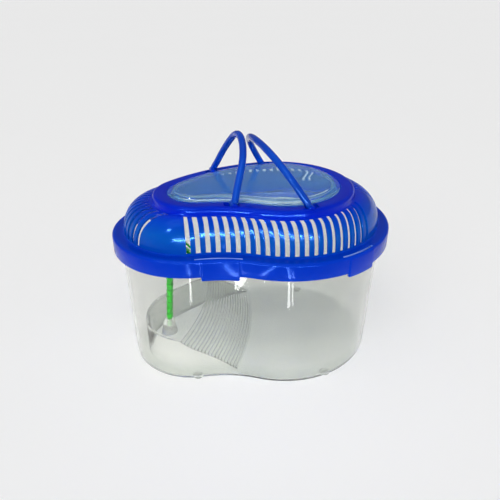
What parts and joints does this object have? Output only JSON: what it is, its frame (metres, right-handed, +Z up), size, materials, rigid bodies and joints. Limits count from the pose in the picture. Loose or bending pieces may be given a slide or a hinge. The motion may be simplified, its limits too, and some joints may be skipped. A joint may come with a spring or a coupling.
{
  "type": "kidney-shaped carry tank with vented lid for a small pet",
  "caption": "Clear kidney-shaped pet carry tank with a moulded island and ramp, a plug-in palm, and a blue vented lid with a lift-out hatch and folding carry handles.",
  "frame": {"origin": "middle of the object's footprint, on the surface that its feet stand on", "axes": "+Z up, +X along the length towards the big lobe, +Y towards the back, so the hollow waist faces -Y"},
  "size_m": [0.27, 0.208, 0.231],
  "materials": {
    "clear_tank": "clear moulded styrene, glossy, ribbed ramp",
    "blue_lid": "translucent royal blue moulded plastic, glossy",
    "clear_hatch": "clear moulded styrene, glossy",
    "blue_handle": "solid dark blue moulded plastic, glossy",
    "palm_trunk_green": "soft green moulded plastic, satin, ringed",
    "palm_leaf_green": "soft green moulded plastic, satin"
  },
  "bodies": {
    "tank": {"tank": "clear_tank"},
    "lid": {"lid": "blue_lid"},
    "hatch": {"hatch": "clear_hatch"},
    "handle_left": {"handle_left": "blue_handle"},
    "handle_right": {"handle_right": "blue_handle"},
    "palm": {"palm_trunk": "palm_trunk_green", "palm_fronds_lower": "palm_leaf_green", "palm_fronds_upper": "palm_leaf_green"}
  },
  "joints": [
    {"name": "lid_lift", "type": "slide", "parent": "tank", "child": "lid", "axis": [0, 0, 1], "range_m": [0, 0.12]},
    {"name": "hatch_lift", "type": "slide", "parent": "lid", "child": "hatch", "axis": [0, 0, 1], "range_m": [0, 0.004]},
    {"name": "handle_left_fold", "type": "hinge", "parent": "lid", "child": "handle_left", "pos_m": [-0.02938, -0.02682, 0.1804], "axis": [0.2574, -0.9663, 0], "range_deg": [0, 74]},
    {"name": "handle_right_fold", "type": "hinge", "parent": "lid", "child": "handle_right", "pos_m": [0.02793, -0.01655, 0.1804], "axis": [-0.3075, 0.9516, 0], "range_deg": [0, 87]},
    {"name": "palm_pull", "type": "slide", "parent": "tank", "child": "palm", "axis": [0.0698, 0, 0.9976], "range_m": [0, 0.009]}
  ]
}
